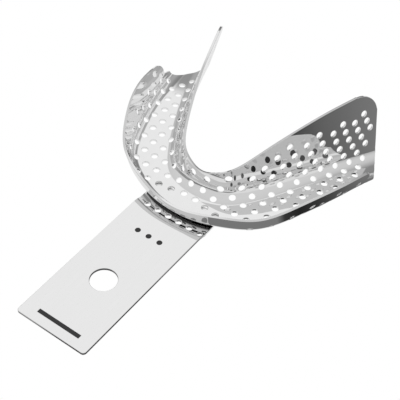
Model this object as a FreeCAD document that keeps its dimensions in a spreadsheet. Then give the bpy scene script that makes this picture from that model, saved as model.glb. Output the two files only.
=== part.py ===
import FreeCAD, Part
import math
import os
import Sketcher
from FreeCAD import Placement, Rotation, Vector

# Perforated metal impression tray for a lower jaw: a drawn trough in the shape of the tooth arch, with high
# inner wings, and a flat handle plate that steps down at the front of the trough into a tongue. The tongue
# lies under the trough's floor and is spot-welded to it.
#
# Frame: millimetres, +Z up. The origin is the centre of the handle's round hole, on the handle's top face.
# +Y runs from the handle towards the open ends of the arch, and the tray is symmetric about the plane X = 0.

SIZES = {
    # sheet metal
    "tray_sheet": 0.75,
    "handle_sheet": 0.8,
    # handle plate
    "handle_width": 22.0,
    "handle_end": 20.4,
    "handle_hole_radius": 3.65,
    "handle_corner": 1.0,
    # the step down to the tongue that lies under the trough's floor, and the row of holes just behind it
    "arch_axis": 67.3,
    "step_start": 24.0,
    "step_radius": 6.9,
    "crease_radius": 0.6,
    "step_drop": 0.648,
    "tongue_end": 35.6,
    "row_hole_radius": 0.85,
    "row_hole_pitch": 3.5,
    "row_hole_first": -7.65,
    "row_hole_y": 27.35,
    # trough: fillets between the floor and the two walls, measured on the outside of the sheet
    "outer_fillet": 4.0,
    "inner_fillet": 4.6,
    "wing_lean": 14.0,
    # perforations: a square grid in the flat blank
    "hole_radius": 0.93,
    "column_pitch": 3.78,
    "row_pitch": 3.94,
    "first_row": 34.3,
    "row_bow": 0.010,
    "bow_centre": 15.0,
    "narrowing": 0.0087,
    "narrowing_start": 51.7,
    "plain_strip_inner": 1.7,
    "plain_strip_outer": 4.3,
    "plain_rear": 2.1,
    "plain_above": 11.9,
    # trimmed rear ends
    "wing_corner": 6.0,
    "rim_corner": 3.2,
    # spot welds
    "weld_radius": 1.1,
    "weld_outer_x": 7.6,
    "weld_outer_y": 32.9,
    "weld_inner_x": 3.8,
    "weld_inner_y": 33.4,
}

# Cross-sections of the trough, from the front of the arch to just past its right-hand end: the top of the
# outer wall (x, y, z), the top of the inner wall (x, y, z), the underside of the floor (z) and the outward
# lean of the outer wall in degrees. The left-hand half mirrors them.
SECTION_COLUMNS = ("outer_x", "outer_y", "outer_z", "inner_x", "inner_y", "inner_z", "floor_z", "outer_lean")
SECTIONS = (
    (0.0, 27.3, 4.1, 0.0, 41.4, 6.1, -0.55, 7.0),
    (7.0, 27.9, 4.9, 3.9, 42.1, 7.0, -0.55, 8.0),
    (13.6, 30.0, 5.8, 7.1, 43.8, 8.4, -0.55, 10.0),
    (22.9, 35.8, 6.0, 10.5, 48.7, 10.8, -0.55, 14.0),
    (28.5, 43.5, 7.6, 12.8, 53.7, 12.8, -0.6, 18.0),
    (32.1, 50.8, 8.5, 15.0, 58.9, 14.4, -0.8, 20.0),
    (34.8, 59.1, 7.9, 17.4, 65.0, 15.8, -1.3, 20.5),
    (36.3, 67.6, 6.0, 19.8, 71.8, 16.7, -2.2, 18.0),
    (37.2, 74.6, 3.2, 22.5, 79.4, 17.2, -3.4, 14.0),
    (38.0, 82.6, 0.8, 25.1, 87.0, 17.3, -4.8, 10.0),
)

# Plan of the slanting cut at the right-hand end of the arch, from outside the rim to inside the wing.
REAR_CUT = ((45.0, 70.0), (36.8, 70.0), (35.9, 72.7), (34.4, 76.0), (31.6, 80.9), (29.5, 84.0), (28.6, 84.8),
            (27.4, 85.8), (26.6, 86.5), (24.0, 88.8))

# How finely the trough is sampled, and how much of the blank's hole grid is tried.
SHEET_ROWS = 73
SHEET_POINTS = 45
WRAP_STEPS = 600
GRID_COLUMNS = 12
GRID_ROWS = 16

# Side view of the rounded corners at the rear ends: where the two trimmed edges would meet (y, z), and how
# far the round is tilted.
WING_CORNER_AT = (86.4, 17.1)
WING_CORNER_SLOPE = 0.0
RIM_CORNER_AT = (70.2, 5.1)
RIM_CORNER_SLOPE = -16.0

ROW_HOLES = 6
# The step is revolved wider than the handle through this many degrees, then trimmed to width.
STEP_SWEEP = 46.0


def make_sheet(doc):
    """The spreadsheet that holds the driving dimensions, one alias for each."""
    sheet = doc.addObject("Spreadsheet::Sheet", "Sizes")
    row = 1
    for name, value in SIZES.items():
        sheet.set(f"A{row}", name)
        sheet.set(f"B{row}", str(value))
        sheet.setAlias(f"B{row}", name)
        row += 1
    for number, section in enumerate(SECTIONS):
        for column, value in zip(SECTION_COLUMNS, section):
            sheet.set(f"A{row}", f"{column}_{number}")
            sheet.set(f"B{row}", str(value))
            sheet.setAlias(f"B{row}", f"{column}_{number}")
            row += 1
    doc.recompute()
    return sheet


# ---------------------------------------------------------------------------------------------------------
# trough
# ---------------------------------------------------------------------------------------------------------

class Section:
    """One cross-section of the trough: the outside of the sheet, as a function of the distance across it.

    Distances are measured along the sheet from the middle of the floor, positive towards the outer rim.
    """

    def __init__(self, outer, inner, floor_z, outer_lean, inner_lean, outer_fillet, inner_fillet):
        self.inner = inner
        self.across = Vector(outer.x - inner.x, outer.y - inner.y, 0)
        width = self.across.Length
        self.across.normalize()
        outer_foot = width - (outer.z - floor_z) * math.tan(outer_lean)
        inner_foot = (inner.z - floor_z) * math.tan(inner_lean)
        outer_turn = math.pi / 2 - outer_lean
        inner_turn = math.pi / 2 - inner_lean
        outer_run = outer_fillet * math.tan(outer_turn / 2)
        inner_run = inner_fillet * math.tan(inner_turn / 2)
        self.floor_z = floor_z
        self.middle = (outer_foot - outer_run + inner_foot + inner_run) / 2
        self.half_floor = (outer_foot - outer_run - inner_foot - inner_run) / 2
        outer_wall = (outer.z - floor_z) / math.cos(outer_lean) - outer_run
        inner_wall = (inner.z - floor_z) / math.cos(inner_lean) - inner_run
        self.outer_side = (outer_fillet, outer_turn)
        self.inner_side = (inner_fillet, inner_turn)
        self.outer_reach = self.half_floor + outer_fillet * outer_turn + outer_wall
        self.inner_reach = -(self.half_floor + inner_fillet * inner_turn + inner_wall)

    def point(self, distance):
        """The point of the sheet's outside at a signed distance across the section."""
        side = 1 if distance > 0 else -1
        radius, turn = self.outer_side if side > 0 else self.inner_side
        beyond = abs(distance) - self.half_floor
        if beyond < 0:
            run, rise = beyond, 0.0
        elif beyond < radius * turn:
            run, rise = radius * math.sin(beyond / radius), radius * (1 - math.cos(beyond / radius))
        else:
            wall = beyond - radius * turn
            run = radius * math.sin(turn) + wall * math.cos(turn)
            rise = radius * (1 - math.cos(turn)) + wall * math.sin(turn)
        place = self.middle + side * (self.half_floor + run)
        return Vector(self.inner.x + self.across.x * place, self.inner.y + self.across.y * place,
                      self.floor_z + rise)

    def floor_middle(self):
        return self.point(0.0)


class Trough:
    """The curved sheet of the trough, as a function of place along the arch and distance across it."""

    STEP = 0.05

    def __init__(self, sheet):
        self.thickness = sheet.tray_sheet
        self.outer_fillet = sheet.outer_fillet
        self.inner_fillet = sheet.inner_fillet
        self.inner_lean = math.radians(sheet.wing_lean)
        right = [[getattr(sheet, f"{column}_{number}") for column in SECTION_COLUMNS]
                 for number in range(len(SECTIONS))]
        left = [[-r[0], r[1], r[2], -r[3], r[4], r[5], r[6], r[7]] for r in reversed(right[1:])]
        rows = left + right
        stations = [0.0]
        for a, b in zip(rows, rows[1:]):
            middle_a, middle_b = (a[0] + a[3], a[1] + a[4]), (b[0] + b[3], b[1] + b[4])
            stations.append(stations[-1] + math.dist(middle_a, middle_b) / 2)
        self.end = stations[-1] / 2
        self.stations = [s - self.end for s in stations]
        self.outer_rim = self.curve([Vector(r[0], r[1], r[2]) for r in rows])
        self.inner_rim = self.curve([Vector(r[3], r[4], r[5]) for r in rows])
        self.floor_and_lean = self.curve([Vector(r[6], r[7], 0) for r in rows])

    def curve(self, points):
        """A smooth curve through one point for each station."""
        spline = Part.BSplineCurve()
        spline.interpolate(Points=points, Parameters=self.stations)
        return spline

    def section(self, s):
        floor_z, lean_degrees, _ = self.floor_and_lean.value(s)
        return Section(self.outer_rim.value(s), self.inner_rim.value(s), floor_z, math.radians(lean_degrees),
                       self.inner_lean, self.outer_fillet, self.inner_fillet)

    def inward(self, s, distance):
        """Unit normal of the sheet at a point of its outside, pointing into the trough."""
        here = self.section(s)
        over = here.point(distance + self.STEP) - here.point(distance - self.STEP)
        along = (self.section(min(s + self.STEP, self.end)).point(distance)
                 - self.section(max(s - self.STEP, -self.end)).point(distance))
        normal = over.cross(along)
        normal.normalize()
        return normal

    def grids(self, along_count, across_count):
        """Points of the outside and the inside of the sheet, in rows across the trough."""
        outside = []
        inside = []
        for k in range(along_count):
            s = -self.end + 2 * self.end * k / (along_count - 1)
            section = self.section(s)
            reach = section.outer_reach - section.inner_reach
            places = [section.outer_reach - reach * j / (across_count - 1) for j in range(across_count)]
            outside.append([section.point(w) for w in places])
            inside.append([section.point(w) + self.inward(s, w) * self.thickness for w in places])
        return outside, inside


def sheet_solid(outside, inside):
    """A closed solid between two grids of points: two smooth faces and the four edge strips between them."""
    faces = []
    for rows in (outside, inside):
        surface = Part.BSplineSurface()
        surface.interpolate(rows)
        faces.append(surface.toShape())
    same_direction = 1
    strips = [Part.makeRuledSurface(a, b, same_direction) for a, b in zip(faces[0].Edges, faces[1].Edges)]
    shell = Part.makeShell(faces + strips)
    shell.sewShape()
    solid = Part.makeSolid(shell)
    if solid.Volume < 0:
        solid.reverse()
    return solid


def rear_cutter(side):
    """A tall prism that takes away everything behind the slanting cut on one side (side = 1 or -1)."""
    points = [Vector(side * x, y, -20) for x, y in REAR_CUT]
    back = [Vector(side * 15, 120, -20), Vector(side * 45, 120, -20)]
    wire = Part.makePolygon(points + back + points[:1])
    return Part.Face(wire).extrude(Vector(0, 0, 50))


def corner_cutter(x_low, x_high, y, z, radius, slope):
    """What is cut off a corner seen from the side: a square less the round that stays, tilted by slope."""
    size = 3 * radius
    block = Part.makeBox(x_high - x_low, size, size)
    stays = Part.makeCylinder(radius, x_high - x_low, Vector(0, 0, 0), Vector(1, 0, 0))
    cutter = block.cut(stays)
    turn = Rotation(Vector(1, 0, 0), slope)
    cutter.Placement = Placement(Vector(x_low, y, z) - turn.multVec(Vector(0, radius, radius)), turn)
    return cutter


def hole_places(trough, sheet):
    """Middle and direction of every perforation: a square grid in the blank, wrapped over the trough."""
    sections = [(trough.end * k / WRAP_STEPS, trough.section(trough.end * k / WRAP_STEPS))
                for k in range(WRAP_STEPS + 1)]
    holes = []
    for column in range(GRID_COLUMNS):
        for row in range(GRID_ROWS):
            y_row = sheet.first_row + sheet.row_pitch * row
            squeeze = 1 - sheet.narrowing * max(0.0, y_row - sheet.narrowing_start)
            x = (column + 0.5) * sheet.column_pitch * squeeze
            y = y_row + sheet.row_bow * (x - sheet.bow_centre) ** 2
            place = wrap(x, y, sections)
            if place and perforated(trough, place, sheet):
                s, distance = place
                holes.append((trough.section(s).point(distance), trough.inward(s, distance)))
    return holes


def wrap(x, y, sections):
    """Where a point of the flat blank lands: its station and its distance across the section there."""
    best = None
    last = None
    for s, section in sections:
        middle = section.floor_middle()
        reach = Vector(x - middle.x, y - middle.y, 0)
        beside = reach.cross(section.across).z
        distance = reach.dot(section.across)
        if last is not None and last * beside <= 0 and abs(last - beside) < 3:
            if best is None or abs(distance) < abs(best[1]):
                best = (s, distance)
        last = beside
    return best


def rear_margin(point):
    """How far, in plan, a point lies in front of the slanting cut at the end of the arch."""
    nearest = math.inf
    for (x1, y1), (x2, y2) in zip(REAR_CUT, REAR_CUT[1:]):
        run = Vector(x2 - x1, y2 - y1, 0)
        beside = Vector(point.x - x1, point.y - y1, 0)
        along = min(max(beside.dot(run) / run.Length ** 2, 0.0), 1.0)
        gap = beside - run * along
        ahead = gap.cross(run).z
        nearest = min(nearest, gap.Length if ahead < 0 else -gap.Length, key=abs)
    return nearest


def perforated(trough, place, sheet):
    """True where the sheet has holes: clear of every edge and of the plain strip at the top of the wing."""
    s, distance = place
    section = trough.section(s)
    if rear_margin(section.point(distance)) < sheet.plain_rear:
        return False
    clear_of_inner = distance > section.inner_reach + sheet.plain_strip_inner
    clear_of_outer = distance < section.outer_reach - sheet.plain_strip_outer
    return clear_of_inner and clear_of_outer and section.point(distance).z < sheet.plain_above


def perforations(holes, radius, reach):
    """Cylinders through the sheet at each hole, on both halves of the tray."""
    drills = []
    for point, normal in holes:
        for side in (1, -1):
            middle = Vector(side * point.x, point.y, point.z)
            direction = Vector(side * normal.x, normal.y, normal.z)
            drills.append(Part.makeCylinder(radius, 2 * reach, middle - direction * reach, direction))
    return drills


def make_tray(doc, sheet):
    """The perforated trough, trimmed and rounded at its rear ends."""
    trough = Trough(sheet)
    outside, inside = trough.grids(SHEET_ROWS, SHEET_POINTS)
    cutters = []
    for side in (1, -1):
        cutters.append(rear_cutter(side))
        wing_x = sorted((side * 18.0, side * 30.0))
        rim_x = sorted((side * 33.0, side * 42.0))
        cutters.append(corner_cutter(*wing_x, *WING_CORNER_AT, sheet.wing_corner, WING_CORNER_SLOPE))
        cutters.append(corner_cutter(*rim_x, *RIM_CORNER_AT, sheet.rim_corner, RIM_CORNER_SLOPE))
    trimmed = sheet_solid(outside, inside).cut(cutters)
    holes = hole_places(trough, sheet)
    shape = trimmed.cut(perforations(holes, sheet.hole_radius, 2 * sheet.tray_sheet))
    tray = doc.addObject("Part::Feature", "tray_shell")
    tray.Label = "tray_shell"
    tray.Shape = shape.Solids[0] if len(shape.Solids) == 1 else shape
    tray.Placement = Placement()
    return tray


# ---------------------------------------------------------------------------------------------------------
# handle
# ---------------------------------------------------------------------------------------------------------

def new_sketch(body, name, plane_role, offset=None):
    """An empty sketch on one of the body's own origin planes."""
    sketch = body.newObject("Sketcher::SketchObject", name)
    plane = next(f for f in body.Origin.OriginFeatures if f.Role == plane_role)
    sketch.AttachmentSupport = [(plane, "")]
    sketch.MapMode = "FlatFace"
    if offset:
        sketch.AttachmentOffset = offset
    return sketch


def dimension(sketch, constraint, expression):
    """Adds a dimension and binds it to the driving sheet."""
    index = sketch.addConstraint(constraint)
    sketch.setExpression(f"Constraints[{index}]", expression)


def chain(sketch, points):
    """A closed ring of straight lines, joined end to end."""
    ends = points[1:] + points[:1]
    lines = [sketch.addGeometry(Part.LineSegment(a, b), False) for a, b in zip(points, ends)]
    for line, after in zip(lines, lines[1:] + lines[:1]):
        sketch.addConstraint(Sketcher.Constraint("Coincident", line, 2, after, 1))
    return lines


def plate_sketch(body, sheet):
    """Outline of the flat plate: square at the free end, a shallow arc where the step begins."""
    sketch = new_sketch(body, "plate_outline", "XY_Plane")
    half = sheet.handle_width / 2
    radius = sheet.arch_axis - sheet.step_start
    side_y = sheet.arch_axis - math.sqrt(radius ** 2 - half ** 2)
    left_end, right_end = Vector(-half, -sheet.handle_end, 0), Vector(half, -sheet.handle_end, 0)
    left_step, right_step = Vector(-half, side_y, 0), Vector(half, side_y, 0)
    end_edge = sketch.addGeometry(Part.LineSegment(left_end, right_end), False)
    right = sketch.addGeometry(Part.LineSegment(right_end, right_step), False)
    left = sketch.addGeometry(Part.LineSegment(left_step, left_end), False)
    step = sketch.addGeometry(Part.Arc(left_step, Vector(0, sheet.step_start, 0), right_step), False)
    add = sketch.addConstraint
    add(Sketcher.Constraint("Coincident", end_edge, 2, right, 1))
    add(Sketcher.Constraint("Coincident", left, 2, end_edge, 1))
    add(Sketcher.Constraint("Coincident", left, 1, step, 1))
    add(Sketcher.Constraint("Coincident", right, 2, step, 2))
    add(Sketcher.Constraint("Vertical", right))
    add(Sketcher.Constraint("Vertical", left))
    add(Sketcher.Constraint("Symmetric", end_edge, 1, end_edge, 2, -2))
    add(Sketcher.Constraint("PointOnObject", step, 3, -2))
    dimension(sketch, Sketcher.Constraint("DistanceX", end_edge, 1, end_edge, 2, 2 * half),
              "Sizes.handle_width")
    dimension(sketch, Sketcher.Constraint("DistanceY", end_edge, 1, -1, 1, sheet.handle_end),
              "Sizes.handle_end")
    dimension(sketch, Sketcher.Constraint("DistanceY", -1, 1, step, 3, sheet.arch_axis), "Sizes.arch_axis")
    dimension(sketch, Sketcher.Constraint("Radius", step, radius), "Sizes.arch_axis - Sizes.step_start")
    return sketch


def step_sketch(body, sheet):
    """Section of the step and the tongue in the plane X = 0, with the upright axis of the front arc."""
    sketch = new_sketch(body, "step_section", "YZ_Plane")
    thickness, start, drop = sheet.handle_sheet, sheet.step_start, sheet.step_drop
    soft, crease = sheet.step_radius, sheet.crease_radius
    turn = math.acos(1 - drop / (soft + crease))
    soft_centre = Vector(start, -soft, 0)
    crease_centre = soft_centre + Vector(math.sin(turn), math.cos(turn), 0) * (soft + crease)
    tongue_top = Vector(sheet.tongue_end, -drop, 0)
    below = Vector(0, -thickness, 0)
    normal = Vector(0, 0, 1)

    def arc(centre, radius, last):
        circle = Part.Circle(centre, normal, radius)
        return sketch.addGeometry(Part.ArcOfCircle(circle, last - turn, last), False)

    def line(a, b, construction=False):
        return sketch.addGeometry(Part.LineSegment(a, b), construction)

    foot = line(Vector(start, 0, 0), Vector(start, 0, 0) + below)
    soft_top, soft_low = (arc(soft_centre, r, math.pi / 2) for r in (soft, soft - thickness))
    crease_top, crease_low = (arc(crease_centre, r, 1.5 * math.pi) for r in (crease, crease + thickness))
    top = line(Vector(crease_centre.x, -drop, 0), tongue_top)
    rear = line(tongue_top, tongue_top + below)
    low = line(tongue_top + below, Vector(crease_centre.x, -drop, 0) + below)
    axis = line(Vector(sheet.arch_axis, 0, 0), Vector(sheet.arch_axis, 9, 0), True)
    add = sketch.addConstraint
    add(Sketcher.Constraint("Coincident", soft_top, 2, foot, 1))
    add(Sketcher.Constraint("Coincident", soft_low, 2, foot, 2))
    add(Sketcher.Constraint("Coincident", soft_top, 3, soft_low, 3))
    add(Sketcher.Constraint("Coincident", crease_top, 3, crease_low, 3))
    add(Sketcher.Constraint("Tangent", soft_top, 1, crease_top, 1))
    add(Sketcher.Constraint("Tangent", soft_low, 1, crease_low, 1))
    add(Sketcher.Constraint("Tangent", crease_top, 2, top, 1))
    add(Sketcher.Constraint("Tangent", crease_low, 2, low, 2))
    add(Sketcher.Constraint("Coincident", top, 2, rear, 1))
    add(Sketcher.Constraint("Coincident", rear, 2, low, 1))
    add(Sketcher.Constraint("Vertical", foot))
    add(Sketcher.Constraint("Vertical", soft_top, 3, foot, 1))
    add(Sketcher.Constraint("PointOnObject", foot, 1, -1))
    add(Sketcher.Constraint("Horizontal", top))
    add(Sketcher.Constraint("Vertical", rear))
    add(Sketcher.Constraint("Horizontal", low))
    add(Sketcher.Constraint("Vertical", axis))
    add(Sketcher.Constraint("PointOnObject", axis, 1, -1))
    for name, *constraint in (
            ("handle_sheet", "DistanceY", foot, 2, foot, 1, thickness),
            ("step_start", "DistanceX", -1, 1, foot, 1, start),
            ("step_radius", "Radius", soft_top, soft),
            ("crease_radius", "Radius", crease_top, crease),
            ("step_drop", "DistanceY", top, 1, -1, 1, drop),
            ("tongue_end", "DistanceX", -1, 1, top, 2, sheet.tongue_end),
            ("arch_axis", "DistanceX", -1, 1, axis, 1, sheet.arch_axis)):
        dimension(sketch, Sketcher.Constraint(*constraint), f"Sizes.{name}")
    return sketch


def side_trim_sketch(body, sheet):
    """Two rectangles that cut the revolved step and tongue to the handle's width."""
    sketch = new_sketch(body, "side_trim", "XY_Plane")
    half = sheet.handle_width / 2
    far, low, high = 2 * half, sheet.step_start - 6, sheet.arch_axis - 27
    edges = []
    for side in (1, -1):
        corners = [Vector(side * half, low, 0), Vector(side * far, low, 0), Vector(side * far, high, 0),
                   Vector(side * half, high, 0)]
        lines = chain(sketch, corners)
        for line, kind in zip(lines, ("Horizontal", "Vertical", "Horizontal", "Vertical")):
            sketch.addConstraint(Sketcher.Constraint(kind, line))
        edges.append(lines[3])
    sketch.addConstraint(Sketcher.Constraint("Symmetric", edges[0], 2, edges[1], 2, -2))
    dimension(sketch, Sketcher.Constraint("DistanceX", edges[1], 2, edges[0], 2, 2 * half),
              "Sizes.handle_width")
    return sketch


def place_circle(sketch, centre, radius, x_size, y_size, radius_size):
    """A circle whose middle and radius are bound to the driving sheet."""
    circle = sketch.addGeometry(Part.Circle(Vector(*centre, 0), Vector(0, 0, 1), radius), False)
    for kind, value, size in (("DistanceX", centre[0], x_size), ("DistanceY", centre[1], y_size)):
        dimension(sketch, Sketcher.Constraint(kind, -1, 1, circle, 3, value), size)
    dimension(sketch, Sketcher.Constraint("Radius", circle, radius), radius_size)


def hole_row_sketch(body, sheet):
    """The straight row of small holes behind the crease, a little off centre."""
    sketch = new_sketch(body, "hole_row", "XY_Plane")
    for k in range(ROW_HOLES):
        x = sheet.row_hole_first + sheet.row_hole_pitch * k
        place_circle(sketch, (x, sheet.row_hole_y), sheet.row_hole_radius,
                     f"Sizes.row_hole_first + {k} * Sizes.row_hole_pitch", "Sizes.row_hole_y",
                     "Sizes.row_hole_radius")
    return sketch


def pocket(body, name, sketch):
    """Cuts a sketch right through the body, both ways from its plane."""
    cut = body.newObject("PartDesign::Pocket", name)
    cut.Profile = sketch
    cut.Type = "ThroughAll"
    cut.Midplane = True
    return cut


def make_handle(doc, sheet):
    """The flat handle plate with its holes, and the tongue that steps down to pass under the trough."""
    body = doc.addObject("PartDesign::Body", "handle_plate")
    body.Label = "handle_plate"
    plate = body.newObject("PartDesign::Pad", "plate")
    plate.Profile = plate_sketch(body, sheet)
    plate.setExpression("Length", "Sizes.handle_sheet")
    plate.Reversed = True
    profile = step_sketch(body, sheet)
    step = body.newObject("PartDesign::Revolution", "step_and_tongue")
    step.Profile = profile
    step.ReferenceAxis = (profile, ["Axis0"])
    step.Angle = STEP_SWEEP
    step.Midplane = True
    doc.recompute()
    pocket(body, "cut_sides", side_trim_sketch(body, sheet))
    doc.recompute()
    round_hole = new_sketch(body, "round_hole", "XY_Plane")
    ring = Part.Circle(Vector(0, 0, 0), Vector(0, 0, 1), sheet.handle_hole_radius)
    circle = round_hole.addGeometry(ring, False)
    round_hole.addConstraint(Sketcher.Constraint("Coincident", circle, 3, -1, 1))
    dimension(round_hole, Sketcher.Constraint("Radius", circle, sheet.handle_hole_radius),
              "Sizes.handle_hole_radius")
    pocket(body, "handle_hole", round_hole)
    doc.recompute()
    drilled = pocket(body, "small_holes", hole_row_sketch(body, sheet))
    doc.recompute()
    corners = body.newObject("PartDesign::Fillet", "end_corners")
    corners.Base = (drilled, end_corner_edges(drilled.Shape, sheet))
    corners.setExpression("Radius", "Sizes.handle_corner")
    body.Tip = corners
    body.Placement = Placement()
    doc.recompute()
    return body


def end_corner_edges(shape, sheet):
    """Names of the two upright edges at the handle's free end."""
    names = []
    for number, edge in enumerate(shape.Edges, 1):
        ends = [v.Point for v in edge.Vertexes]
        at_end = all(abs(p.y + sheet.handle_end) < 1e-4 for p in ends)
        upright = len(ends) == 2 and abs(ends[0].x - ends[1].x) < 1e-4
        if at_end and upright:
            names.append(f"Edge{number}")
    return names


def make_welds(doc):
    """The fused spots between the tongue and the trough's floor: discs that fill the gap between them."""
    spots = []
    for name, sign in (("outer", 1), ("inner", 1), ("outer", -1), ("inner", -1)):
        spot = doc.addObject("Part::Cylinder", f"weld_{name}_{'right' if sign > 0 else 'left'}")
        spot.setExpression("Radius", "Sizes.weld_radius")
        spot.setExpression("Height", "Sizes.step_drop + Sizes.floor_z_0")
        spot.setExpression("Placement.Base.x", f"{sign} * Sizes.weld_{name}_x")
        spot.setExpression("Placement.Base.y", f"Sizes.weld_{name}_y")
        spot.setExpression("Placement.Base.z", "-Sizes.step_drop")
        spots.append(spot)
    welds = doc.addObject("Part::Compound", "weld_nuggets")
    welds.Label = "weld_nuggets"
    welds.Links = spots
    welds.Placement = Placement()
    return welds


# ---------------------------------------------------------------------------------------------------------
# document
# ---------------------------------------------------------------------------------------------------------

def check_and_export(doc, parts):
    """Stops on any failed object or bad shape, then writes one file for each sub-part."""
    for item in doc.Objects:
        if "Invalid" in item.State or "Error" in item.State:
            raise RuntimeError(f"{item.Label} failed: {item.State}")
    for part in parts:
        if part.Shape.isNull() or not part.Shape.isValid():
            raise RuntimeError(f"{part.Label} has no valid shape")
    os.makedirs("parts", exist_ok=True)
    for part in parts:
        part.Shape.exportStep(f"parts/{part.Label}.step")
        box = part.Shape.BoundBox
        print(f"{part.Label}: {len(part.Shape.Solids)} solid(s), {part.Shape.Volume:.1f} mm3, "
              f"{box.XLength:.1f} x {box.YLength:.1f} x {box.ZLength:.1f} mm, "
              f"y {box.YMin:.2f} to {box.YMax:.2f}, z {box.ZMin:.2f} to {box.ZMax:.2f}")


def main():
    doc = FreeCAD.newDocument("impression_tray")
    sheet = make_sheet(doc)
    handle = make_handle(doc, sheet)
    tray = make_tray(doc, sheet)
    welds = make_welds(doc)
    doc.recompute()
    check_and_export(doc, (tray, handle, welds))


main()
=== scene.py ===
import math

import bpy
import numpy as np
from mathutils import Matrix, Vector
from mathutils.geometry import delaunay_2d_cdt


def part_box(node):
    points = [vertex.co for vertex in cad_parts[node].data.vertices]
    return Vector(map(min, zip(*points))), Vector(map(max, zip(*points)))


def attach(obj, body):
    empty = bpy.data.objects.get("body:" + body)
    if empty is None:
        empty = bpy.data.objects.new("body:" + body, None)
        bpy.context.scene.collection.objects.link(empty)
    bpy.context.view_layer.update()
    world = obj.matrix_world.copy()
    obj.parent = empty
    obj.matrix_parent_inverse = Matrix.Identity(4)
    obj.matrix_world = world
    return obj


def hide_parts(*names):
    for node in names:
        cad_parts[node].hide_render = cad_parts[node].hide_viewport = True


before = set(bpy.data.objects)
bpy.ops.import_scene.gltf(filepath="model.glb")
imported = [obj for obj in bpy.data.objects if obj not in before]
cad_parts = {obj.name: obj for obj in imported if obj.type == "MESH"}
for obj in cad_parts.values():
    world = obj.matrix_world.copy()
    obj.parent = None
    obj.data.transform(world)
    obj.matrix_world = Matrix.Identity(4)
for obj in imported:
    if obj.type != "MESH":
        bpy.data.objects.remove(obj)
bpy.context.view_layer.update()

MM = 0.001

# Camera: where it stands and the directions of its own axes, solved from the outline in the photograph.
CAMERA_PLACE = Vector((122.406, -129.404, 223.040)) * MM
CAMERA_RIGHT = Vector((0.80029, 0.59935, 0.01775))
CAMERA_UP = Vector((-0.45135, 0.58265, 0.67588))
CAMERA_BACK = Vector((0.39474, -0.54891, 0.73680))
LENS = 101.01
SENSOR = 36.0
NEAR_CLIP = 0.01

# Everything below is in millimetres, in the object's frame.

# Cross-sections of the trough from the front of the arch to its right-hand end: top of the outer wall
# (x, y, z), top of the inner wall (x, y, z), underside of the floor (z), outward lean of the outer wall.
SECTIONS = np.array((
    (0.0, 27.3, 4.1, 0.0, 41.4, 6.1, -0.55, 7.0),
    (7.0, 27.9, 4.9, 3.9, 42.1, 7.0, -0.55, 8.0),
    (13.6, 30.0, 5.8, 7.1, 43.8, 8.4, -0.55, 10.0),
    (22.9, 35.8, 6.0, 10.5, 48.7, 10.8, -0.55, 14.0),
    (28.5, 43.5, 7.6, 12.8, 53.7, 12.8, -0.6, 18.0),
    (32.1, 50.8, 8.5, 15.0, 58.9, 14.4, -0.8, 20.0),
    (34.8, 59.1, 7.9, 17.4, 65.0, 15.8, -1.3, 20.5),
    (36.3, 67.6, 6.0, 19.8, 71.8, 16.7, -2.2, 18.0),
    (37.2, 74.6, 3.2, 22.5, 79.4, 17.2, -3.4, 14.0),
    (38.0, 82.6, 0.8, 25.1, 87.0, 17.3, -4.8, 10.0),
))
TRAY_SHEET = 0.75
OUTER_FILLET = 4.0
INNER_FILLET = 4.6
WING_LEAN = math.radians(14.0)
# Plan of the slanting cut at the end of the arch, and the two rounded corners in side view: centre (y, z),
# radius, tilt, and the range of x each one lies in.
REAR_CUT = np.array(((45.0, 70.0), (36.8, 70.0), (35.9, 72.7), (34.4, 76.0), (31.6, 80.9), (29.5, 84.0),
                     (28.6, 84.8), (27.4, 85.8), (26.6, 86.5), (24.0, 88.8)))
CORNERS = ((86.4, 17.1, 6.0, 0.0, 18.0, 30.0), (70.2, 5.1, 3.2, -16.0, 33.0, 42.0))
# Perforations: a nearly square grid in the blank. Its columns draw together towards the back, and its rows
# bow a little. A sign change larger than the largest jump is no crossing.
HOLE_RADIUS = 0.93
GRID_COLUMNS, GRID_ROWS = 12, 16
COLUMN_PITCH, ROW_PITCH, FIRST_ROW = 3.78, 3.94, 34.3
ROW_BOW, BOW_CENTRE = 0.010, 15.0
NARROWING, NARROWING_START = 0.0087, 51.7
PLAIN_INNER, PLAIN_OUTER, PLAIN_REAR, PLAIN_ABOVE = 1.7, 4.3, 2.1, 11.9
SECTION_POINTS, LARGEST_JUMP = 1201, 3

# Handle.
HANDLE_SHEET, HALF_WIDTH, HANDLE_END, HANDLE_HOLE, HANDLE_CORNER = 0.8, 11.0, 20.4, 3.65, 1.0
STEP_START, STEP_RADIUS, CREASE_RADIUS, STEP_DROP = 24.0, 6.9, 0.6, 0.648
STEP_TURN = math.acos(1 - STEP_DROP / (STEP_RADIUS + CREASE_RADIUS))
TONGUE_END, ARCH_AXIS = 35.6, 67.3
ROW_HOLES, ROW_HOLE_RADIUS, ROW_HOLE_FIRST, ROW_HOLE_PITCH, ROW_HOLE_Y = 6, 0.85, -7.65, 3.5, 27.35

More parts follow.
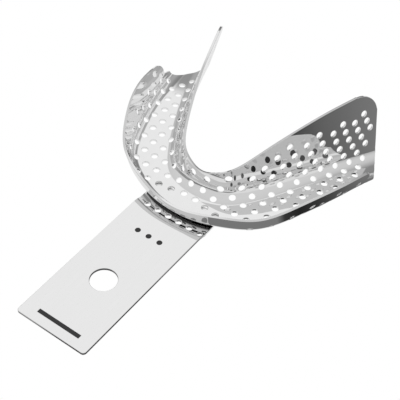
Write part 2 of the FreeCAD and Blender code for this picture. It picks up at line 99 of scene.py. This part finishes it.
# How far the sheets' edges are rounded off, and how finely the meshes are drawn: numbers of points, starts,
# ends and steps of the grids, and how far the grids stay away from edges and holes.
EDGE = 0.12
HOLE_SEGMENTS, ROW_HOLE_SEGMENTS, HANDLE_HOLE_SEGMENTS = 28, 28, 72
REAR_SEARCH, REAR_STEPS, REAR_HALVINGS = 26.0, 260, 24
TRAY_WIDTH, RIM_POINTS, END_POINTS = 36.0, 361, 241
TRAY_GRID_S, TRAY_GRID_T = (-64.2, 64.3, 0.6), (0.5, TRAY_WIDTH, 0.55)
TRAY_EDGE_GAP, TRAY_HOLE_GAP, HANDLE_HOLE_GAP = 0.4, 0.3, 0.18
CORNER_POINTS, FREE_END_POINTS, SIDE_POINTS, TONGUE_END_POINTS, SOFT_POINTS = 9, 31, 61, 61, 6
STEP_ROW, TONGUE_ROW, LAST_STEP_ROW, LAST_TONGUE_ROW = 0.2, 0.4, 0.05, 0.1
PLATE_GRID_X, PLATE_GRID_U, STEP_GRID_X = (-10.4, 10.5, 0.8), (-43.4, -0.4, 0.8), (-10.6, 10.7, 0.53)

# Lengths below are in metres, in the same frame.

# The object stands just above the floor. The card, which only the metal can see, lies a little lower.
FLOOR_SIZE, FLOOR_GAP = 4.0, 0.0002
CARD_SIZE, CARD_GAP, CARD_PLACE_Y = 0.5, 0.008, 0.03
LIGHT = 0.92

# The room, as directions from the object: a soft panel, a dim patch, and the fall of its tone to the floor.
# Each pair in a list of tones is a place from 0 to 1 and the grey there.
SOFT_PANEL, PANEL_EDGE = (-0.395, 0.549, 0.737), (0.91, 0.955)
DIM_PATCH = (-0.25, 0.933, 0.259)
ROOM_TONES = ((0.0, 0.76), (0.5, 0.73), (0.707, 0.64), (0.906, 0.45), (0.978, 0.27))
HEIGHT_TONES = ((0.44, 0.35), (0.5, 0.7), (0.585, 0.9), (0.68, 1.0))

# The card: an oval white part under the arch (its middle in y, its half sizes, the softness of its edge and
# its grey), tones that change with the turn round the arch, a pale left side and a darker strip in front.
CARD_MIDDLE, CARD_HALF_WIDTH, CARD_DEPTH, CARD_EDGE, CARD_WHITE = 0.068, 0.032, 0.0407, (0.93, 1.0), 0.95
CARD_TONES = ((0.0, 0.22), (0.285, 0.22), (0.31, 0.04), (0.36, 0.02), (0.42, 0.04), (0.47, 0.07),
              (0.51, 0.105), (0.555, 0.15), (0.59, 0.19), (0.64, 0.23))
CARD_LEFT, CARD_LEFT_GREY = (-0.004, -0.012), 0.9
CARD_FRONT, CARD_FRONT_SHARE = (0.012, 0.018), 0.35

# Etched marks on the handle: middles of three dots, and a bar's middle and half sizes.
DOTS = ((-0.0036, 0.0182), (0.0, 0.0182), (0.0036, 0.0182))
DOT_RADIUS = 0.0008
BAR_MIDDLE, BAR_HALF = (0.0002, -0.0171), (0.0067, 0.0006)
UPPER_FACE = -0.00005
# Painted shade on the front fillet, by the tongue: how far the fillet's middle is from the arch's axis and
# above the handle's face, how far out its outside face lies, where it begins, and the heights between which
# its painted shade ends.
FILLET_MIDDLE, FILLET_FACE, FILLET_FRONT = (0.0357, 0.00345), 0.0036, -0.0005
SHADE_TOP = (0.00025, 0.0006)
# Grey of the etched marks on the handle, and of the painted shade on the tray's front fillet.
ETCH_AND_SHADE_GREY = 0.05

# Steels: grey, roughness, how many waves to the metre, height of a wave, and how finely the polishing lines
# repeat along x, y and z.
DRAWN_STEEL = (0.87, 0.03, 260.0, 0.000008, (500.0, 500.0, 3000.0))
ROLLED_STEEL = (0.87, 0.03, 90.0, 0.000006, (3000.0, 120.0, 3000.0))
FUSED_STEEL = (0.5, 0.3, 900.0, 0.00003, (900.0, 900.0, 900.0))
GREY_SPREAD, ROUGHNESS_SPREAD, NOISE_RANGE = 0.008, 0.01, (0.3, 0.7)


def make_camera():
    data = bpy.data.cameras.new("camera")
    data.lens = LENS
    data.sensor_width = SENSOR
    data.clip_start = NEAR_CLIP
    camera = bpy.data.objects.new("camera", data)
    turn = Matrix((CAMERA_RIGHT, CAMERA_UP, CAMERA_BACK)).transposed()
    camera.matrix_world = Matrix.Translation(CAMERA_PLACE) @ turn.to_4x4()
    bpy.context.collection.objects.link(camera)
    bpy.context.scene.camera = camera


# ---------------------------------------------------------------------------------------------------------
# bent sheets
# ---------------------------------------------------------------------------------------------------------

class Spline:
    """A natural cubic spline through rows of values."""

    def __init__(self, places, values):
        self.places, self.values = places, values
        steps = np.diff(places)
        count = len(places)
        system = np.eye(count)
        right = np.zeros_like(values)
        for k in range(1, count - 1):
            system[k, k - 1:k + 2] = steps[k - 1], 2 * (steps[k - 1] + steps[k]), steps[k]
            after, before = (values[k + 1] - values[k]) / steps[k], (values[k] - values[k - 1]) / steps[k - 1]
            right[k] = 6 * (after - before)
        self.bends = np.linalg.solve(system, right)

    def __call__(self, at):
        k = np.clip(np.searchsorted(self.places, at) - 1, 0, len(self.places) - 2)
        step = self.places[k + 1] - self.places[k]
        b = ((at - self.places[k]) / step)[:, None]
        a = 1 - b
        step = step[:, None]
        return (a * self.values[k] + b * self.values[k + 1]
                + ((a ** 3 - a) * self.bends[k] + (b ** 3 - b) * self.bends[k + 1]) * step ** 2 / 6)


class Trough:
    """The outside face of the trough's sheet over s (along the arch) and t (0 inner rim, 1 outer rim)."""

    def __init__(self):
        left = SECTIONS[:0:-1] * np.array((-1, 1, 1, -1, 1, 1, 1, 1))
        rows = np.vstack((left, SECTIONS))
        middles = (rows[:, 0:2] + rows[:, 3:5]) / 2
        stations = np.concatenate(((0.0,), np.cumsum(np.linalg.norm(np.diff(middles, axis=0), axis=1))))
        self.end = stations[-1] / 2
        self.spline = Spline(stations - self.end, rows)

    def sections(self, s):
        """The numbers that fix the cross-section at each s."""
        row = self.spline(np.clip(s, -self.end, self.end))
        across = row[:, 0:2] - row[:, 3:5]
        width = np.linalg.norm(across, axis=1)
        outer_rise, inner_rise = row[:, 2] - row[:, 6], row[:, 5] - row[:, 6]
        lean = np.radians(row[:, 7])
        turn = np.pi / 2 - lean
        inner_turn = math.pi / 2 - WING_LEAN
        outer_run = OUTER_FILLET * np.tan(turn / 2)
        inner_run = INNER_FILLET * math.tan(inner_turn / 2)
        far = width - outer_rise * np.tan(lean) - outer_run
        near = inner_rise * math.tan(WING_LEAN) + inner_run
        half = (far - near) / 2
        outer_reach = half + OUTER_FILLET * turn + outer_rise / np.cos(lean) - outer_run
        inner_reach = -(half + INNER_FILLET * inner_turn + inner_rise / math.cos(WING_LEAN) - inner_run)
        return {"inner": row[:, 3:5], "across": across / width[:, None], "floor": row[:, 6],
                "middle": (far + near) / 2, "half": half, "turn": turn, "inner_turn": inner_turn,
                "outer_reach": outer_reach, "inner_reach": inner_reach}

    def at_distance(self, s, distance):
        """Points at a signed distance across each section, along the sheet from the floor's middle."""
        c = self.sections(s)
        outward = distance > 0
        radius = np.where(outward, OUTER_FILLET, INNER_FILLET)
        turn = np.where(outward, c["turn"], c["inner_turn"])
        beyond = np.abs(distance) - c["half"]
        angle = np.clip(beyond / radius, 0, turn)
        wall = np.maximum(beyond - radius * turn, 0)
        run = np.minimum(beyond, 0) + radius * np.sin(angle) + wall * np.cos(turn)
        rise = radius * (1 - np.cos(angle)) + wall * np.sin(turn)
        place = c["middle"] + np.where(outward, 1, -1) * (c["half"] + run)
        plan = c["inner"] + c["across"] * place[:, None]
        return np.column_stack((plan, c["floor"] + rise))

    def distance(self, s, t):
        c = self.sections(s)
        return c["inner_reach"] + (c["outer_reach"] - c["inner_reach"]) * t

    def __call__(self, s, t):
        return self.at_distance(s, self.distance(s, t))


def rear_margin(points):
    """How far, in plan, points of the right-hand half lie in front of the slanting cut at the arch's end."""
    best = np.full(len(points), 1e9)
    for a, b in zip(REAR_CUT, REAR_CUT[1:]):
        run = b - a
        beside = points[:, :2] - a
        along = np.clip(beside @ run / (run @ run), 0, 1)
        gap = beside - along[:, None] * run
        ahead = np.sign(run[0] * gap[:, 1] - run[1] * gap[:, 0])
        length = np.linalg.norm(gap, axis=1) * ahead
        best = np.where(np.abs(length) < np.abs(best), length, best)
    return best


def kept(points):
    """Above zero where the trimmed tray has metal, for points of the right-hand half."""
    inside = rear_margin(points)
    for y, z, radius, tilt, x_low, x_high in CORNERS:
        angle = math.radians(tilt)
        dy, dz = points[:, 1] - y, points[:, 2] - z
        u = dy * math.cos(angle) + dz * math.sin(angle) + radius
        v = -dy * math.sin(angle) + dz * math.cos(angle) + radius
        here = (u > 0) & (v > 0) & (points[:, 0] > x_low) & (points[:, 0] < x_high)
        inside = np.where(here, np.minimum(inside, radius - np.hypot(u, v)), inside)
    return inside


def rear_edge(trough, t):
    """The largest s at each t that is still inside the trimmed tray."""
    low, high = np.full(len(t), trough.end - REAR_SEARCH), np.full(len(t), trough.end)
    first_out = high.copy()
    found = np.zeros(len(t), bool)
    for k in range(REAR_STEPS + 1):
        s = low + (high - low) * k / REAR_STEPS
        out = (kept(trough(s, t)) < 0) & ~found
        first_out[out] = s[out]
        found |= out
    a, b = first_out - (high - low) / REAR_STEPS, first_out
    for _ in range(REAR_HALVINGS):
        middle = (a + b) / 2
        inside = kept(trough(middle, t)) >= 0
        a, b = np.where(inside, middle, a), np.where(inside, b, middle)
    return a


def hole_places(trough):
    """Every perforation of the right-hand half, as (s, distance)."""
    s = np.linspace(0, trough.end, SECTION_POINTS)
    c = trough.sections(s)
    middles = c["inner"] + c["across"] * c["middle"][:, None]
    holes = []
    for column in range(GRID_COLUMNS):
        for row in range(GRID_ROWS):
            y_row = FIRST_ROW + ROW_PITCH * row
            x = (column + 0.5) * COLUMN_PITCH * (1 - NARROWING * max(0.0, y_row - NARROWING_START))
            y = y_row + ROW_BOW * (x - BOW_CENTRE) ** 2
            reach = np.array((x, y)) - middles
            beside = reach[:, 0] * c["across"][:, 1] - reach[:, 1] * c["across"][:, 0]
            distance = np.einsum("ij,ij->i", reach, c["across"])
            jump = np.abs(beside[1:] - beside[:-1])
            cross = np.nonzero((beside[1:] * beside[:-1] <= 0) & (jump < LARGEST_JUMP))[0] + 1
            if not len(cross):
                continue
            k = min(cross, key=lambda i: abs(distance[i]))
            point = trough.at_distance(s[k:k + 1], distance[k:k + 1])
            low, high = c["inner_reach"][k] + PLAIN_INNER, c["outer_reach"][k] - PLAIN_OUTER
            if low < distance[k] < high and point[0, 2] < PLAIN_ABOVE and rear_margin(point)[0] >= PLAIN_REAR:
                holes.append((s[k], distance[k]))
    return holes


class Sheet:
    """A bent sheet of even thickness over a flat domain, with rounded edges round its outline and holes."""

    def __init__(self, surface, thickness):
        self.surface, self.thickness = surface, thickness

    def frames(self, domain):
        """Points, unit normals into the sheet's second face, and the two tangents, at domain places."""
        a, b = domain[:, 0], domain[:, 1]
        h = 1e-3
        point = self.surface(a, b)
        by_a = (self.surface(a + h, b) - self.surface(a - h, b)) / (2 * h)
        by_b = (self.surface(a, b + h) - self.surface(a, b - h)) / (2 * h)
        normal = np.cross(by_b, by_a)
        normal /= np.linalg.norm(normal, axis=1)[:, None]
        return point, normal, by_a, by_b

    def circle(self, centre, radius):
        """Domain places of a round hole, as seen square to the sheet."""
        _, normal, by_a, by_b = self.frames(np.array([centre]))
        first = by_a[0] / np.linalg.norm(by_a[0])
        second = np.cross(normal[0], first)
        jacobian = np.column_stack((by_a[0], by_b[0]))
        angles = np.arange(HOLE_SEGMENTS) * 2 * math.pi / HOLE_SEGMENTS
        ring = radius * (np.outer(np.cos(angles), first) + np.outer(np.sin(angles), second))
        moves = np.linalg.lstsq(jacobian, ring.T, rcond=None)[0].T
        return np.array(centre) + moves

    def outward(self, loop, hole):
        """Unit directions in the sheet, square to a loop and pointing off the metal."""
        point, normal, _, _ = self.frames(loop)
        along = np.roll(point, -1, axis=0) - np.roll(point, 1, axis=0)
        away = np.cross(along, normal)
        away -= normal * np.einsum("ij,ij->i", away, normal)[:, None]
        away /= np.linalg.norm(away, axis=1)[:, None]
        centre = point.mean(axis=0)
        facing = np.einsum("ij,ij->i", away, point - centre).sum()
        return -away if (facing > 0) == hole else away

    def build(self, name, outline, holes, inner_points):
        """Makes the mesh object: two faces, and a rounded edge round every loop."""
        loops = [(outline, False)] + [(hole, True) for hole in holes]
        places, edges = [], []
        for loop, _ in loops:
            first = len(places)
            places.extend(map(tuple, loop))
            edges.extend((first + k, first + (k + 1) % len(loop)) for k in range(len(loop)))
        on_loops = len(places)
        places.extend(map(tuple, inner_points))
        flat, _, faces, _, _, _ = delaunay_2d_cdt([Vector(p) for p in places], edges, [], 1, 1e-6)
        if len(flat) != len(places):
            raise RuntimeError(f"{name}: the outline or the holes cross")
        domain = np.array([tuple(p) for p in flat])
        faces = np.array(faces)
        middles = domain[faces].mean(axis=1)
        in_hole = np.zeros(len(faces), bool)
        for hole in holes:
            centre, reach = hole.mean(axis=0), np.abs(hole - hole.mean(axis=0)).max(axis=0)
            near = np.all(np.abs(middles - centre) < reach, axis=1)
            for k in np.nonzero(near)[0]:
                in_hole[k] = in_hole[k] or point_in_loop(middles[k], hole)
        faces = faces[~in_hole]

        point, normal, _, _ = self.frames(domain)
        first_face = point.copy()
        second_face = point + normal * self.thickness
        wall_low, wall_high, wall_out = [], [], []
        start = 0
        for loop, hole in loops:
            part = slice(start, start + len(loop))
            away = self.outward(loop, hole)
            wall_low.append(first_face[part] + normal[part] * EDGE)
            wall_high.append(second_face[part] - normal[part] * EDGE)
            wall_out.append(away)
            first_face[part] -= away * EDGE
            second_face[part] -= away * EDGE
            start += len(loop)
        away = np.vstack(wall_out)
        vertices = np.vstack((first_face, second_face, np.vstack(wall_low), np.vstack(wall_high)))
        normals = np.vstack((-normal, normal, away, away))
        count = len(domain)
        rings = (0, 2 * count, 2 * count + on_loops, count)
        polygons = [tuple(f) for f in faces] + [tuple(f[::-1] + count) for f in faces]
        for a, b in edges:
            for low, high in zip(rings, rings[1:]):
                polygons.append((low + a, low + b, high + b, high + a))
        mesh = bpy.data.meshes.new(name)
        mesh.from_pydata((vertices * MM).tolist(), [], polygons)
        mesh.update()
        self.face_outwards(mesh, normals)
        mesh.polygons.foreach_set("use_smooth", np.ones(len(mesh.polygons), bool))
        mesh.normals_split_custom_set_from_vertices(normals.tolist())
        mesh.update()
        piece = bpy.data.objects.new(name, mesh)
        bpy.context.collection.objects.link(piece)
        return piece

    @staticmethod
    def face_outwards(mesh, normals):
        """Turns round each face whose winding disagrees with the normals given for its corners."""
        for polygon in mesh.polygons:
            wanted = sum((Vector(normals[v]) for v in polygon.vertices), Vector())
            if polygon.normal.dot(wanted) < 0:
                polygon.flip()


def point_in_loop(point, loop):
    x, y = loop[:, 0], loop[:, 1]
    x2, y2 = np.roll(x, -1), np.roll(y, -1)
    spans = (y > point[1]) != (y2 > point[1])
    crosses = spans & (point[0] < (x2 - x) * (point[1] - y) / (y2 - y + 1e-12) + x)
    return bool(crosses.sum() % 2)


def clear_of(points, loops, gap):
    """The points that stay at least gap away from every loop."""
    keep = np.ones(len(points), bool)
    for loop in loops:
        low, high = loop.min(axis=0) - gap, loop.max(axis=0) + gap
        for k in np.nonzero(np.all((points > low) & (points < high), axis=1) & keep)[0]:
            near = np.hypot(*(loop - points[k]).T).min() < gap
            keep[k] = not (near or point_in_loop(points[k], loop))
    return points[keep]


def make_tray():
    """The perforated trough. Its domain is s along the arch and t times a fixed width across it."""
    trough = Trough()
    sheet = Sheet(lambda a, b: trough(a, b / TRAY_WIDTH), TRAY_SHEET)
    turn = (1 - np.cos(np.linspace(0, math.pi, END_POINTS))) / 2
    right = np.column_stack((rear_edge(trough, turn), turn * TRAY_WIDTH))
    inner_end, outer_end = right[0, 0], right[-1, 0]
    top = np.linspace(outer_end, -outer_end, RIM_POINTS)[1:-1]
    low = np.linspace(-inner_end, inner_end, RIM_POINTS)[1:-1]
    left = right[::-1] * np.array((-1, 1))
    outline = np.vstack((right, np.column_stack((top, np.full(len(top), TRAY_WIDTH))), left,
                         np.column_stack((low, np.zeros(len(low))))))
    holes = []
    for s, distance in hole_places(trough):
        c = trough.sections(np.array([s]))
        t = (distance - c["inner_reach"][0]) / (c["outer_reach"][0] - c["inner_reach"][0])
        for side in (1, -1):
            holes.append(sheet.circle((side * s, t * TRAY_WIDTH), HOLE_RADIUS))
    grid = np.array([(s, t) for s in np.arange(*TRAY_GRID_S) for t in np.arange(*TRAY_GRID_T)])
    edge = np.interp(grid[:, 1], right[:, 1], right[:, 0])
    grid = clear_of(grid[np.abs(grid[:, 0]) < edge - TRAY_EDGE_GAP], holes, TRAY_HOLE_GAP)
    return sheet.build("tray", outline, holes, grid)


class HandleFace:
    """The handle's upper face over x and u: u < 0 on the flat plate, u > 0 down the step and the tongue."""

    LENGTH = STEP_START + HANDLE_END
    SOFT = STEP_RADIUS * STEP_TURN
    CREASE = SOFT + CREASE_RADIUS * STEP_TURN

    def __init__(self):
        self.end = self.along(TONGUE_END - STEP_START)

    def section(self, u):
        """How far the face has gone forward and up in the plane X = 0."""
        theta = np.clip(u / STEP_RADIUS, 0, STEP_TURN)
        psi = STEP_TURN - np.clip((u - self.SOFT) / CREASE_RADIUS, 0, STEP_TURN)
        forward = STEP_RADIUS * np.sin(theta) + CREASE_RADIUS * (math.sin(STEP_TURN) - np.sin(psi))
        up = STEP_RADIUS * (np.cos(theta) - 1) + CREASE_RADIUS * (math.cos(STEP_TURN) - np.cos(psi))
        return forward + np.maximum(u - self.CREASE, 0), up

    def along(self, forward):
        """The u at which the face has gone forward by that much."""
        u = np.linspace(0, 20, 8001)
        return float(np.interp(forward, self.section(u)[0], u))

    def __call__(self, x, u):
        forward, z = self.section(u)
        radius = ARCH_AXIS - STEP_START - forward
        y = ARCH_AXIS - np.sqrt(radius ** 2 - x ** 2)
        flat = -HANDLE_END + (y + HANDLE_END) * (1 + u / self.LENGTH)
        return np.column_stack((x, np.where(u < 0, flat, y), z))

    def at_plan(self, x, y):
        """The domain place of a point of the upper face, given from above."""
        forward = ARCH_AXIS - STEP_START - math.hypot(x, ARCH_AXIS - y)
        if forward > 0:
            return x, self.along(forward)
        step_y = ARCH_AXIS - math.sqrt((ARCH_AXIS - STEP_START) ** 2 - x * x)
        return x, ((y + HANDLE_END) / (step_y + HANDLE_END) - 1) * self.LENGTH

    def round_outline(self, x, y, radius, count):
        """A circle drawn from above, in the domain."""
        angles = np.arange(count) * 2 * math.pi / count
        return np.array([self.at_plan(x + radius * math.cos(a), y + radius * math.sin(a)) for a in angles])


def make_handle():
    face = HandleFace()
    sheet = Sheet(face, HANDLE_SHEET)
    r = HANDLE_CORNER
    quarter = np.linspace(0, math.pi / 2, CORNER_POINTS)
    corner = [(HALF_WIDTH - r + r * math.sin(q), -HANDLE_END + r - r * math.cos(q)) for q in quarter]
    right_low = [face.at_plan(x, y) for x, y in corner]
    rows = np.concatenate((np.arange(0, face.SOFT - LAST_STEP_ROW, STEP_ROW),
                           np.linspace(face.SOFT, face.CREASE, SOFT_POINTS),
                           np.arange(face.CREASE + STEP_ROW, face.end - LAST_TONGUE_ROW, TONGUE_ROW)))
    plate_side = np.linspace(right_low[-1][1], 0, SIDE_POINTS)[1:-1]
    half = right_low + [(HALF_WIDTH, u) for u in np.concatenate((plate_side, rows))]
    rear = [(x, face.end) for x in np.linspace(HALF_WIDTH, -HALF_WIDTH, TONGUE_END_POINTS)]
    left = [(-x, u) for x, u in reversed(half)]
    end_row = np.linspace(-HALF_WIDTH + r, HALF_WIDTH - r, FREE_END_POINTS)[1:-1]
    end = [face.at_plan(x, -HANDLE_END) for x in end_row]
    outline = np.array(half + rear + left + end)
    holes = [face.round_outline(0, 0, HANDLE_HOLE, HANDLE_HOLE_SEGMENTS)]
    for k in range(ROW_HOLES):
        x = ROW_HOLE_FIRST + ROW_HOLE_PITCH * k
        holes.append(face.round_outline(x, ROW_HOLE_Y, ROW_HOLE_RADIUS, ROW_HOLE_SEGMENTS))
    flat = [(x, u) for x in np.arange(*PLATE_GRID_X) for u in np.arange(*PLATE_GRID_U)]
    step = [(x, u) for x in np.arange(*STEP_GRID_X) for u in rows]
    return sheet.build("handle", outline, holes, clear_of(np.array(flat + step), holes, HANDLE_HOLE_GAP))


# ---------------------------------------------------------------------------------------------------------
# looks
# ---------------------------------------------------------------------------------------------------------

class Nodes:
    """A small helper that adds nodes to a tree and links them."""

    def __init__(self, tree):
        self.tree = tree
        tree.nodes.clear()

    def add(self, kind, inputs=(), **settings):
        node = self.tree.nodes.new(kind)
        for name, value in settings.items():
            setattr(node, name, value)
        for key, value in dict(inputs).items():
            socket = self.socket(node, key)
            if isinstance(value, bpy.types.NodeSocket):
                self.tree.links.new(value, socket)
            else:
                socket.default_value = value
        return node

    @staticmethod
    def socket(node, key):
        """The input of that name or number that is in use, because some nodes keep one for each data type."""
        if isinstance(key, int):
            return node.inputs[key]
        return next(s for s in node.inputs if s.name == key and s.enabled)

    def math(self, operation, a, b=0.0, c=0.0):
        return self.add("ShaderNodeMath", {0: a, 1: b, 2: c}, operation=operation).outputs[0]

    def times(self, first, *others):
        for other in others:
            first = self.math("MULTIPLY", first, other)
        return first

    def length(self, a, b):
        return self.math("SQRT", self.math("ADD", self.math("MULTIPLY", a, a), self.math("MULTIPLY", b, b)))

    def mix(self, share, a, b):
        return self.add("ShaderNodeMix", {"Factor": share, "A": a, "B": b}, data_type="FLOAT").outputs[0]

    def spread(self, value, source, target=(0.0, 1.0), kind="LINEAR"):
        """Maps one range to another and stops at its ends."""
        return self.add("ShaderNodeMapRange", {"Value": value, "From Min": source[0], "From Max": source[1],
                                               "To Min": target[0], "To Max": target[1]},
                        interpolation_type=kind).outputs[0]

    def vector(self, operation, a, b, output=0):
        return self.add("ShaderNodeVectorMath", {0: a, 1: b}, operation=operation).outputs[output]

    def apart(self, vector):
        return self.add("ShaderNodeSeparateXYZ", {0: vector}).outputs

    def ramp(self, value, stops):
        node = self.add("ShaderNodeValToRGB", {0: value})
        elements = node.color_ramp.elements
        while len(elements) < len(stops):
            elements.new(0.5)
        for element, (place, grey) in zip(elements, stops):
            element.position = place
            element.color = (grey, grey, grey, 1)
        return node.outputs[0]


def new_material(name):
    material = bpy.data.materials.new(name)
    material.use_nodes = True
    return material, Nodes(material.node_tree)


def glowing_plane(name, size, place, material, nodes, grey, strength):
    """A flat square that sends out light of its own and reflects none."""
    bpy.ops.mesh.primitive_plane_add(size=size, location=place)
    plane = bpy.context.object
    plane.name = name
    glow = nodes.add("ShaderNodeEmission", {"Color": grey, "Strength": strength})
    nodes.add("ShaderNodeOutputMaterial", {"Surface": glow.outputs[0]})
    plane.data.materials.append(material)
    return plane


def make_world():
    """An even pale room, with a bright soft panel up behind the tray and a dim patch low down behind it."""
    world = bpy.data.worlds.new("studio")
    bpy.context.scene.world = world
    world.use_nodes = True
    nodes = Nodes(world.node_tree)
    way = nodes.add("ShaderNodeTexCoord").outputs["Generated"]
    panel = nodes.spread(nodes.vector("DOT_PRODUCT", way, SOFT_PANEL, "Value"), PANEL_EDGE, kind="SMOOTHSTEP")
    to_dim = nodes.math("MAXIMUM", nodes.vector("DOT_PRODUCT", way, DIM_PATCH, "Value"), 0.0)
    height = nodes.math("MULTIPLY_ADD", nodes.apart(way)["Z"], 0.5, 0.5)
    level = nodes.times(nodes.ramp(to_dim, ROOM_TONES), nodes.ramp(height, HEIGHT_TONES))
    light = nodes.add("ShaderNodeBackground", {"Color": nodes.mix(panel, level, 1.0), "Strength": LIGHT})
    nodes.add("ShaderNodeOutputWorld", {"Surface": light.outputs[0]})


def make_card(height):
    """What downward-facing metal reflects: white under the arch, and darker tones round it."""
    material, nodes = new_material("reflected_floor")
    x, y = nodes.apart(nodes.add("ShaderNodeNewGeometry").outputs["Position"])[:2]
    side = nodes.math("ABSOLUTE", x)
    behind = nodes.math("SUBTRACT", y, CARD_MIDDLE)
    ahead = nodes.math("MINIMUM", behind, 0.0)
    span = nodes.length(nodes.times(side, 1 / CARD_HALF_WIDTH), nodes.times(ahead, 1 / CARD_DEPTH))
    outside = nodes.spread(span, CARD_EDGE)
    # The turn round the arch, 0 at its front and 0.5 level with its middle.
    turn = nodes.math("MULTIPLY_ADD", nodes.math("ARCTAN2", behind, side), 1 / math.pi, 0.5)
    around = nodes.mix(nodes.spread(x, CARD_LEFT), nodes.ramp(turn, CARD_TONES), CARD_LEFT_GREY)
    around = nodes.times(around, nodes.spread(y, CARD_FRONT, (CARD_FRONT_SHARE, 1.0)))
    card = glowing_plane("card", CARD_SIZE, (0, CARD_PLACE_Y, height), material, nodes,
                         nodes.mix(outside, CARD_WHITE, around), LIGHT)
    card.visible_camera = False
    card.visible_diffuse = False
    card.visible_shadow = False


def make_floor(height):
    material, nodes = new_material("pale_floor")
    floor = glowing_plane("floor", FLOOR_SIZE, (0, 0, height), material, nodes, (1, 1, 1, 1), 1.0)
    floor.visible_glossy = False


def etched(nodes, place):
    """Where the handle's upper face is etched dark: three dots by the tray and a bar by the free end."""
    x, y, z = nodes.apart(place)
    off = [nodes.math("ABSOLUTE", nodes.math("SUBTRACT", at, middle))
           for at, middle in zip((x, y), BAR_MIDDLE)]
    marks = nodes.times(*(nodes.math("LESS_THAN", gap, half) for gap, half in zip(off, BAR_HALF)))
    for dot in DOTS:
        gap = nodes.vector("DISTANCE", place, (*dot, 0), "Value")
        marks = nodes.math("MAXIMUM", marks, nodes.math("LESS_THAN", gap, DOT_RADIUS))
    return nodes.times(marks, nodes.math("GREATER_THAN", z, UPPER_FACE))


def painted_wedge_shade(nodes, place):
    """Mask of painted shade: the narrow wedge between the trough's front fillet and the tongue, where hardly
    any light gets in, is painted dark into the tray's colour.
    """
    x, y, z = nodes.apart(place)
    radius = nodes.length(x, nodes.math("SUBTRACT", ARCH_AXIS * MM, y))
    across = nodes.math("SUBTRACT", radius, FILLET_MIDDLE[0])
    reach = nodes.length(across, nodes.math("SUBTRACT", z, FILLET_MIDDLE[1]))
    outside = nodes.math("GREATER_THAN", reach, FILLET_FACE)
    front = nodes.math("GREATER_THAN", across, FILLET_FRONT)
    low = nodes.spread(z, SHADE_TOP, (1.0, 0.0))
    within = nodes.math("LESS_THAN", nodes.math("ABSOLUTE", x), HALF_WIDTH * MM)
    return nodes.times(outside, front, low, within)


def steel(name, finish, dark=None):
    """Polished steel: slight waves left by forming, and fine polishing lines that vary its gloss and tone. A
    mask, where given, darkens it: real etched marks on the handle, painted shade on the tray.
    """
    grey, roughness, waves, wave_height, fineness = finish
    material, nodes = new_material(name)
    place = nodes.add("ShaderNodeTexCoord").outputs["Object"]
    stretched = nodes.vector("MULTIPLY", place, fineness)
    lines = nodes.add("ShaderNodeTexNoise", {"Vector": stretched, "Scale": 1.0, "Detail": 3.0}).outputs[0]
    forming = nodes.add("ShaderNodeTexNoise", {"Vector": place, "Scale": waves, "Detail": 1.0}).outputs[0]
    tone = nodes.spread(lines, NOISE_RANGE, (grey - GREY_SPREAD, grey + GREY_SPREAD))
    # The mask darkens the tone: real etched marks on the handle, painted shade in the wedge on the tray.
    if dark:
        tone = nodes.mix(dark(nodes, place), tone, ETCH_AND_SHADE_GREY)
    gloss = nodes.spread(lines, NOISE_RANGE, (roughness - ROUGHNESS_SPREAD, roughness + ROUGHNESS_SPREAD))
    bump = nodes.add("ShaderNodeBump", {"Height": forming, "Strength": 1.0,
                                        "Distance": wave_height}).outputs[0]
    shader = nodes.add("ShaderNodeBsdfPrincipled", {"Metallic": 1.0, "Roughness": gloss, "Base Color": tone,
                                                    "Normal": bump})
    nodes.add("ShaderNodeOutputMaterial", {"Surface": shader.outputs[0]})
    return material


def dress(thing, material):
    thing.data.materials.clear()
    thing.data.materials.append(material)


def main():
    make_camera()
    make_world()
    low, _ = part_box("tray_shell")
    make_floor(low[2] - FLOOR_GAP)
    make_card(low[2] - CARD_GAP)
    # The tray's steel carries painted shade in the wedge by the tongue.
    drawn = steel("drawn_steel", DRAWN_STEEL, painted_wedge_shade)
    rolled = steel("rolled_steel", ROLLED_STEEL, etched)
    fused = steel("fused_steel", FUSED_STEEL)
    pieces = ((make_tray(), "tray_shell", drawn), (make_handle(), "handle_plate", rolled))
    for piece, node, material in pieces:
        dress(piece, material)
        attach(piece, "root")
        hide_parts(node)
    dress(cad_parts["weld_nuggets"], fused)
    bpy.context.scene.view_settings.view_transform = "Standard"


main()
